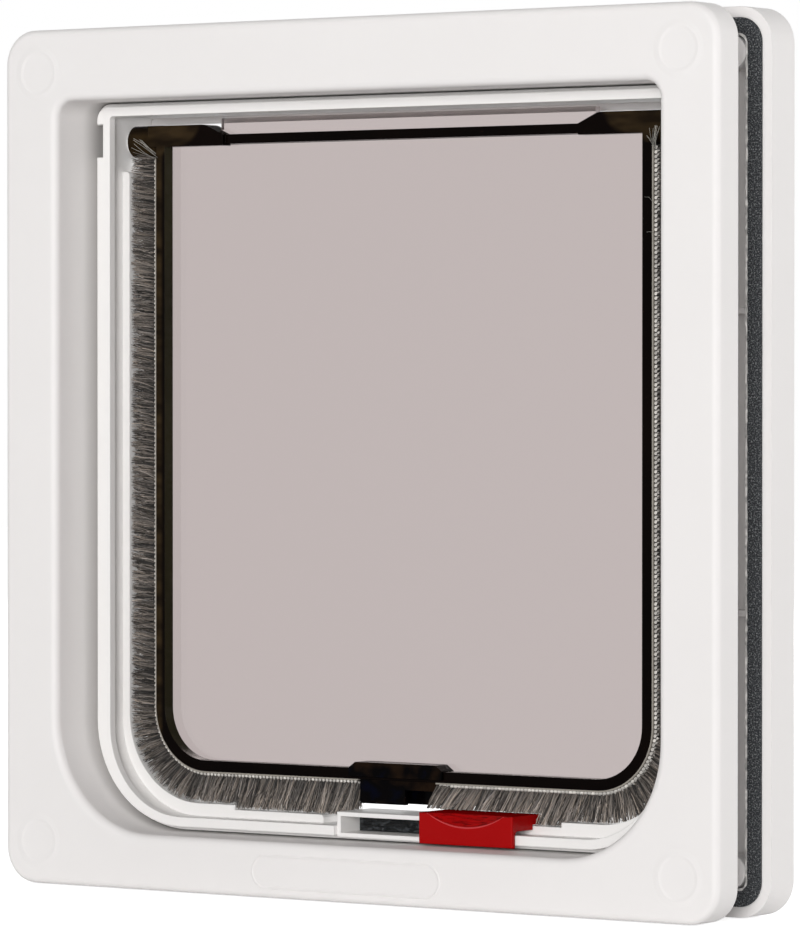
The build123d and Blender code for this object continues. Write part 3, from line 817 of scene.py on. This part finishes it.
def strand_mesh(lines, radius, tones):
    """Thin three-sided strands along lines of points, painted dark at the root as shade: points, faces and
    tones.
    """
    n = len(radius)
    aim = lines[-1] - lines[0]
    aim /= np.linalg.norm(aim, axis=1)[:, None]
    along_y = np.array([[0.0, 1.0, 0.0]])
    along_x = np.array([[1.0, 0.0, 0.0]])
    u = np.cross(aim, np.where(np.abs(aim[:, 1:2]) < UPRIGHT, along_y, along_x))
    u /= np.linalg.norm(u, axis=1)[:, None]
    v = np.cross(aim, u)
    rings = []
    for i, line in enumerate(lines):
        slim = radius[:, None] * (1 - TIP_TAPER * i / (len(lines) - 1))
        for k in range(STRAND_SIDES):
            a = 2 * math.pi * k / STRAND_SIDES
            rings.append(line + (u * math.cos(a) + v * math.sin(a)) * slim)
    points = np.stack(rings, axis=1)
    pattern = []
    for a, b, c, d in loft(len(lines), STRAND_SIDES):
        pattern += [(a, b, c), (a, c, d)]
    faces = (np.arange(n)[:, None, None] * points.shape[1] + np.array(pattern)[None]).reshape(-1, 3)
    # Painted shade: tones darken toward the root and lighten toward the tip
    fade = np.repeat(np.linspace(ROOT_TONE, TIP_TONE, len(lines)), STRAND_SIDES)
    colours = (tones[:, None, :] * fade[None, :, None]).reshape(-1, 3)
    return points.reshape(-1, 3), faces.tolist(), colours


def fibre_tones(shade):
    """Grey-brown fibres, from near black to a pale few."""
    n = len(shade)
    level = np.clip(rng.lognormal(math.log(FIBRE), FIBRE_SPREAD, n) * shade, *FIBRE_LIMITS)
    warm = rng.normal(0, FIBRE_WARMTH, n)
    red_share, green_share, blue_share = FIBRE_TINT
    return np.column_stack((level * (red_share + warm), level * green_share, level * (blue_share - warm)))


def band(count, corners, tones):
    """Closed band along the tape's path, from corners of height above the rim and depth."""
    t = np.linspace(0, PATH_RUN, count)
    rows = []
    for grow, depth in corners:
        at, _, _ = path_at(t, grow)
        rows.append(np.column_stack((at[:, 0], np.full(count, depth), at[:, 1])))
    points = np.stack(rows, axis=1).reshape(-1, 3)
    faces = [f[::-1] for f in capped_loft(count, len(corners))]
    return points, faces, np.tile(np.array(tones), (count, 1))


# Dark band that stands in for the shade deep in the pile: heights above the tape, and depths before and
# behind the pile's middle
CORE_STEPS = 390
CORE_HIGH = 4.4
CORE_HIGH_AT_BEAK = 1.6
CORE_BEAK_MARGIN = 1.0
CORE_SINK = 0.1
CORE_BEFORE = 0.6
CORE_BEHIND = 1.0
CORE_SHADE_TONE = (0.018, 0.016, 0.014)


def pile_shade_core(side):
    """Dark band through the pile's heart, standing in for its shade, which keeps light from showing between
    the strands.
    """
    at, _, _ = path_at(np.linspace(0, PATH_RUN, CORE_STEPS))
    high = np.full(CORE_STEPS, TAPE_T + CORE_HIGH)
    if side == RIGHT:
        over_beak = (at[:, 0] < BEAK_RIGHT + CORE_BEAK_MARGIN) & (at[:, 1] < RIM_LOW)
        high = np.where(over_beak, TAPE_T + CORE_HIGH_AT_BEAK, high)
    low = TAPE_T - CORE_SINK
    front = PILE_DEPTH - CORE_BEFORE
    back = PILE_DEPTH + CORE_BEHIND
    corners = ((low, front), (high, front), (high, back), (low, back))
    return band(CORE_STEPS, corners, [CORE_SHADE_TONE] * len(corners))


# Loose hairs over the left-hand ear, and frayed threads at the right-hand tape's top
STRAYS = {
    LEFT: {
        "count": 8,
        "root_x": (67.4, 69.6),
        "root_depth": 19.7,
        "root_z": (168.2, 169.6),
        "tip_x": (72.5, 76.5),
        "tip_depth": 19.35,
        "tip_z": (171.0, 174.0),
        "placed": (),
    },
    RIGHT: {
        "count": 13,
        "root_x": (68.6, 69.6),
        "root_depth": 19.6,
        "root_z": (167.0, 168.6),
        "tip_x": (67.2, 71.0),
        "tip_depth": 19.3,
        "tip_z": (169.6, 172.8),
        "placed": (((69.2, 19.5, 155.6), (66.9, 19.4, 157.0)), ((69.2, 19.5, 149.2), (67.4, 19.4, 149.3))),
    },
}
STRAY_DEPTH = 19.3
STRAY_SAG = (0.2, 0.35)
STRAY_LEVEL = (0.35, 0.7)
STRAY_TINT = (1, 0.96, 0.86)
STRAY_R = (0.04, 0.07)


def scattered(n, x, depth, z):
    """Points at one depth, with X and Z drawn from ranges."""
    return np.column_stack((rng.uniform(*x, n), np.full(n, depth), rng.uniform(*z, n)))


def strays(side):
    """Loose hairs of one side, some of them at given places."""
    hairs = STRAYS[side]
    n = hairs["count"]
    roots = scattered(n, hairs["root_x"], hairs["root_depth"], hairs["root_z"])
    tips = scattered(n, hairs["tip_x"], hairs["tip_depth"], hairs["tip_z"])
    for i, (root, tip) in enumerate(hairs["placed"]):
        roots[i] = root
        tips[i] = tip
    mids = (roots + tips) / 2
    mids[:, 1] = STRAY_DEPTH
    mids[:, 2] += rng.normal(*STRAY_SAG, n)
    tones = tinted(rng.uniform(*STRAY_LEVEL, n), STRAY_TINT)
    radius = rng.uniform(*STRAY_R, n)
    return strand_mesh((roots, mids, tips), radius, tones)


for side, label in ((LEFT, "left"), (RIGHT, "right")):
    radius = rng.uniform(*STRAND_R, STRANDS)
    roots, mids, tips, shade = tufts(STRANDS, side)
    hair = strand_mesh((roots, mids, tips), radius, fibre_tones(shade))
    points, faces, tones = join(hair, strays(side), pile_shade_core(side))
    pile = make_mesh(f"brush_{label}", *mirror(points, faces, side), bristle, tones)
    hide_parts(f"brush_pile_{label}")
    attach(pile, "swing_flap")

# Woven tape under the pile: a band with pale selvedges and rows of yarn beads along them
BAND_STEPS = 420
BAND_LIFT = 0.02
BAND_DROP = 0.25
SELVEDGE = 0.35
SELVEDGE_FADE = 0.6
TAPE_PALE = (0.30, 0.275, 0.24)
TAPE_DARK = (0.03, 0.027, 0.024)


def tape_band():
    """The tape itself: dark under the pile, pale at both selvedges."""
    front = TAPE_DEPTH - TAPE_W / 2
    back = TAPE_DEPTH + TAPE_W / 2
    high = TAPE_T - BAND_DROP
    depths = (front, front + SELVEDGE, front + SELVEDGE_FADE, back - SELVEDGE_FADE, back - SELVEDGE, back)
    corners = [(BAND_LIFT, front)] + [(high, depth) for depth in depths] + [(BAND_LIFT, back)]
    tones = [TAPE_PALE] * 3 + [TAPE_DARK] * 2 + [TAPE_PALE] * 3
    return band(BAND_STEPS, corners, tones)


# Yarn beads: edge of the tape, inset, radius, rise, shift as a share of the step, range of levels
BEAD_ROWS = (
    (-1, 0.66, 0.33, 0.05, 0.0, (0.5, 0.9)),
    (-1, 1.30, 0.31, 0.32, 0.5, (0.2, 0.8)),
    (1, 0.72, 0.30, 0.05, 0.0, (0.5, 0.9)),
)
BEAD_STEP = 1.0
BEAD_START = 0.5
BEAD_STOP = 0.3
BEAD_TWIST = 0.5
BEAD_STRETCH = 1.5
BEAD_SIDES = 5
BEAD_SHOULDER = 0.55
BEAD_TINT = (1, 0.96, 0.9)


def knot(centre, along, out, half, radius):
    """Small rounded bead, longer along its yarn."""
    fore = np.cross(along, out)
    points = []
    for end in (-BEAD_SHOULDER, BEAD_SHOULDER):
        for k in range(BEAD_SIDES):
            a = 2 * math.pi * k / BEAD_SIDES
            points.append(centre + along * end * half + (out * math.cos(a) + fore * math.sin(a)) * radius)
    points += [centre - along * half, centre + along * half]
    first_pole = 2 * BEAD_SIDES
    last_pole = first_pole + 1
    faces = []
    for a, b, c, d in loft(2, BEAD_SIDES):
        faces += [(a, b, c), (a, c, d), (first_pole, b, a), (last_pole, d, c)]
    return points, faces


def beads():
    """Rows of beads along the tape's edges, each twisted with its yarn."""
    where = np.arange(BEAD_START, PATH_RUN - BEAD_STOP, BEAD_STEP)
    base, normal, tangent = path_at(where)
    parts = []
    for i in range(len(where)):
        out = np.array([normal[i, 0], 0, normal[i, 1]])
        run = np.array([tangent[i, 0], 0, tangent[i, 1]])
        for edge, inset, radius, rise, shift, levels in BEAD_ROWS:
            depth = TAPE_DEPTH + edge * (TAPE_W / 2 - inset)
            centre = np.array([base[i, 0], depth, base[i, 1]]) + out * rise + run * (shift * BEAD_STEP)
            twist = edge * BEAD_TWIST
            along = run * math.cos(twist) + np.array([0, 1, 0]) * math.sin(twist)
            points, faces = knot(centre, along, out, radius * BEAD_STRETCH, radius)
            level = rng.uniform(*levels)
            parts.append((points, faces, tinted(np.full(len(points), level), BEAD_TINT)))
    return join(*parts)


for side, label in ((LEFT, "left"), (RIGHT, "right")):
    points, faces, tones = join(tape_band(), beads())
    tape = make_mesh(f"brush_tape_{label}", *mirror(points, faces, side), yarn, tones, smooth=False)
    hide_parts(f"brush_backing_{label}")
    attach(tape, "swing_flap")

# Rounded lower rim of the finger scoop: a fine bead along an arc on the slide's face, in a paler red that
# paints its highlight
SCOOP_HALF = 10.5
SCOOP_DROP = 3.0
SCOOP_BEAD_R = 0.24
SCOOP_END_SHARE = 0.35
SCOOP_SPAN = 0.985
SCOOP_SINK = 0.1
SCOOP_STEPS = 60
SCOOP_SIDES = 6


def scoop_rim():
    radius = (SCOOP_HALF**2 + SCOOP_DROP**2) / (2 * SCOOP_DROP)
    reach = math.asin(SCOOP_HALF / radius)
    mid = (SLIDE_LEFT + SLIDE_RIGHT) / 2
    points = []
    for i in range(SCOOP_STEPS + 1):
        a = reach * (2 * i / SCOOP_STEPS - 1) * SCOOP_SPAN
        swell = math.cos(a / reach * math.pi / 2)
        r = SCOOP_BEAD_R * (SCOOP_END_SHARE + (1 - SCOOP_END_SHARE) * swell)
        for k in range(SCOOP_SIDES):
            b = 2 * math.pi * k / SCOOP_SIDES
            out = radius + r * math.cos(b)
            z = SLIDE_TOP + radius - SCOOP_DROP - out * math.cos(a)
            points.append((mid + out * math.sin(a), SLIDE_FACE + SCOOP_SINK + r * math.sin(b), z))
    return points, capped_loft(SCOOP_STEPS + 1, SCOOP_SIDES)


# The bead's paler red is a painted highlight
rim = make_mesh("scoop_rim", *scoop_rim(), red_highlight)
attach(rim, "lock")

# Ragged pale edge of the gasket's paper backing, along the gasket's inner side
BACKING_STEP = 0.7
BACKING_CORNER_STEPS = 4
BACKING_INSIDE = 0.30
INSIDE_RAGGED = (-0.16, 0.16)
BACKING_OUTSIDE = 0.12
OUTSIDE_RAGGED = (-0.08, 0.10)
BACKING_PROUD = -0.12
BACKING_SUNK = 0.02
BACKING_LEVEL = (0.35, 0.9)
BACKING_TINT = (1, 0.98, 0.95)


def gasket_path():
    """Points and outward normals round the gasket's inner side, in X and Z."""
    points = []
    normals = []
    wide = GASKET_HALF - GASKET_R
    tall = (GASKET_HIGH - GASKET_LOW) / 2 - GASKET_R
    centre = np.array([0, (GASKET_HIGH + GASKET_LOW) / 2])
    for quarter, run in enumerate((2 * tall, 2 * wide, 2 * tall, 2 * wide)):
        a = quarter * math.pi / 2
        out = np.array([math.cos(a), math.sin(a)])
        along = np.array([-math.sin(a), math.cos(a)])
        reach = GASKET_HALF if quarter % 2 == 0 else tall + GASKET_R
        for t in np.arange(-run / 2, run / 2, BACKING_STEP):
            points.append(out * reach + along * t + centre)
            normals.append(out)
        for k in range(BACKING_CORNER_STEPS):
            b = a + math.pi / 2 / BACKING_CORNER_STEPS * k
            turn = np.array([math.cos(b), math.sin(b)])
            points.append(out * (reach - GASKET_R) + along * run / 2 + turn * GASKET_R + centre)
            normals.append(turn)
    return np.array(points), np.array(normals)


def backing_edge():
    """Thin strip that stands a little proud of the gasket, with two ragged edges."""
    at, out = gasket_path()
    n = len(at)
    inner = at - out * (BACKING_INSIDE + rng.uniform(*INSIDE_RAGGED, n))[:, None]
    outer = at + out * (BACKING_OUTSIDE + rng.uniform(*OUTSIDE_RAGGED, n))[:, None]
    corners = ((inner, BACKING_PROUD), (outer, BACKING_PROUD), (outer, BACKING_SUNK), (inner, BACKING_SUNK))
    rows = []
    for edge, depth in corners:
        rows.append(np.column_stack((edge[:, 0], np.full(n, GASKET_FACE + depth), edge[:, 1])))
    points = np.stack(rows, axis=1).reshape(-1, 3)
    level = np.repeat(rng.uniform(*BACKING_LEVEL, n), len(corners))
    return points, loft(n, len(corners), closed=True), tinted(level, BACKING_TINT)


edge_points, edge_faces, edge_tones = backing_edge()
backing = make_mesh("gasket_backing", edge_points, edge_faces, yarn, edge_tones, smooth=False)
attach(backing, "outer_shell")

# Screw covers: shallow dishes whose soft lip laps over the recess, as radius and depth
COVER_LIP = ((6.6, 0.01), (6.2, -0.015), (5.6, -0.08), (5.1, -0.14), (4.9, -0.145))
COVER_DISH = ((4.65, -0.075), (4.45, -0.03), (4.1, -0.015), (2.0, -0.015))
COVER_PROFILE = COVER_LIP + COVER_DISH
COVER_STEPS = 48


def cover_mesh():
    rings = len(COVER_PROFILE)
    cover_faces = loft(rings, COVER_STEPS) + [last_cap(rings, COVER_STEPS)]
    points = []
    faces = []
    for x in (-SCREW_X, SCREW_X):
        for z in (SCREW_LOW, SCREW_HIGH):
            faces += [tuple(len(points) + j for j in f) for f in cover_faces]
            for r, depth in COVER_PROFILE:
                for k in range(COVER_STEPS):
                    a = 2 * math.pi * k / COVER_STEPS
                    points.append((x + r * math.cos(a), depth, z + r * math.sin(a)))
    return points, faces


covers = make_mesh("screw_covers", *cover_mesh(), white)
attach(covers, "inner_trim")

# Bare plate low on the inner frame: a stadium with a fine raised edge, as inset and depth
PLATE_EDGE = ((0.0, 0.01), (0.1, -0.09), (0.2, -0.16), (0.45, -0.16), (0.55, -0.09))
PLATE_FIELD = ((0.65, -0.03), (1.2, -0.03))
PLATE_PROFILE = PLATE_EDGE + PLATE_FIELD
PLATE_HALF = 26.1
PLATE_R = 3.95
PLATE_X = -0.3
PLATE_Z = 5.95
PLATE_STEPS = 28


def stadium(inset):
    """Points in X and Z round the plate, moved in by the inset."""
    r = PLATE_R - inset
    straight = PLATE_HALF - inset - r
    path = []
    for end in (1, -1):
        for k in range(PLATE_STEPS + 1):
            a = -math.pi / 2 + math.pi * k / PLATE_STEPS
            path.append((PLATE_X + end * (straight + r * math.cos(a)), PLATE_Z + end * r * math.sin(a)))
    return path


def plate_mesh():
    points = []
    for inset, depth in PLATE_PROFILE:
        points += [(x, depth, z) for x, z in stadium(inset)]
    rings = len(PLATE_PROFILE)
    n = len(points) // rings
    return points, loft(rings, n) + [last_cap(rings, n)]


plate = make_mesh("bare_plate", *plate_mesh(), white, smooth=False)
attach(plate, "inner_trim")

# Floor, light and background, in metres
DOME = 0.28
FLOOR_HALF = 2.5
FLOOR_Z = -0.0003
FLOOR_WHITE = 0.9
AIM_Z = 0.099


def mirrored_rays(tree, path):
    """1 for rays that see the surroundings in gloss or through the pane."""
    return calc(tree, "MAXIMUM", path.outputs["Is Glossy Ray"], path.outputs["Is Transmission Ray"])


def floor(dome):
    """Lit floor that the camera sees lifted to white; lamps clip it, so its shadows are faint at most."""
    mesh = bpy.data.meshes.new("floor")
    corners = ((-1, -1), (1, -1), (1, 1), (-1, 1))
    mesh.from_pydata([(x * FLOOR_HALF, y * FLOOR_HALF, FLOOR_Z) for x, y in corners], [], [(0, 1, 2, 3)])
    mat, tree, bsdf = new_material("floor")
    bsdf.inputs["Base Color"].default_value = (FLOOR_WHITE, FLOOR_WHITE, FLOOR_WHITE, 1)
    bsdf.inputs["Roughness"].default_value = 1.0
    bsdf.inputs["Specular IOR Level"].default_value = 0.0
    bsdf.inputs["Emission Color"].default_value = (1, 1, 1, 1)
    path = tree.nodes.new("ShaderNodeLightPath")
    lift = calc(tree, "MULTIPLY", path.outputs["Is Camera Ray"], 1 - FLOOR_WHITE * dome)
    link(tree, lift, bsdf.inputs["Emission Strength"])
    plain = tree.nodes.new("ShaderNodeEmission")
    mix = tree.nodes.new("ShaderNodeMixShader")
    link(tree, mirrored_rays(tree, path), mix.inputs["Fac"])
    link(tree, bsdf.outputs["BSDF"], mix.inputs[1])
    link(tree, plain.outputs["Emission"], mix.inputs[2])
    link(tree, mix.outputs["Shader"], tree.nodes["Material Output"].inputs["Surface"])
    mesh.materials.append(mat)
    obj = bpy.data.objects.new("floor", mesh)
    bpy.context.scene.collection.objects.link(obj)


def world(dome):
    """White to the eye, through the pane and in reflections; a dimmer even light on surfaces."""
    back = bpy.data.worlds.new("studio")
    bpy.context.scene.world = back
    back.use_nodes = True
    tree = back.node_tree
    shade = tree.nodes["Background"]
    shade.inputs["Color"].default_value = (1, 1, 1, 1)
    path = tree.nodes.new("ShaderNodeLightPath")
    seen = calc(tree, "MAXIMUM", mirrored_rays(tree, path), path.outputs["Is Camera Ray"])
    link(tree, spread(tree, seen, dome, 1.0), shade.inputs["Strength"])


def place(obj, forward):
    """Put a lamp or the camera in the scene, looking along a direction."""
    obj.rotation_mode = "QUATERNION"
    obj.rotation_quaternion = forward.to_track_quat("-Z", "Y")
    bpy.context.scene.collection.objects.link(obj)


def area(name, azimuth, elevation, distance, size, power, glossy=True):
    """Round soft lamp, in degrees from the front, metres and watts."""
    data = bpy.data.lights.new(name, "AREA")
    data.shape = "DISK"
    data.size = size
    data.energy = power
    obj = bpy.data.objects.new(name, data)
    a = math.radians(azimuth)
    e = math.radians(elevation)
    back = Vector((math.sin(a) * math.cos(e), -math.cos(a) * math.cos(e), math.sin(e)))
    obj.location = Vector((0, 0, AIM_Z)) + back * distance
    obj.visible_glossy = glossy
    place(obj, -back)


floor(DOME)
world(DOME)
area("key", azimuth=24, elevation=4, distance=3.0, size=1.5, power=80.0)
area("side", azimuth=126, elevation=6, distance=1.5, size=0.8, power=7.6, glossy=False)
area("back", azimuth=205, elevation=22, distance=1.6, size=0.8, power=9.0, glossy=False)

# Camera fitted to the photograph: focal length and shifts in pixels, distance in metres
YAW = math.radians(35.53)
PITCH = math.radians(0.80)
DISTANCE = 1.297
FOCAL = 5758.0
SHIFT_X = 15.5
SHIFT_Y = -4.5
PHOTO_H = 928.0
SENSOR = 36.0
AIM_DEPTH = 15.0
CLIP_NEAR = 0.05
CLIP_FAR = 20.0
camera_data = bpy.data.cameras.new("camera")
camera_data.sensor_fit = "VERTICAL"
camera_data.sensor_width = SENSOR
camera_data.sensor_height = SENSOR
camera_data.lens = FOCAL / PHOTO_H * SENSOR
camera_data.shift_x = SHIFT_X / PHOTO_H
camera_data.shift_y = SHIFT_Y / PHOTO_H
camera_data.clip_start = CLIP_NEAR
camera_data.clip_end = CLIP_FAR
camera = bpy.data.objects.new("camera", camera_data)
view = Vector((-math.sin(YAW) * math.cos(PITCH), math.cos(YAW) * math.cos(PITCH), -math.sin(PITCH)))
camera.location = Vector((0, (AIM_DEPTH + FRONT) * MM, AIM_Z)) - view * DISTANCE
place(camera, view)
bpy.context.scene.camera = camera
bpy.context.scene.view_settings.view_transform = "Standard"
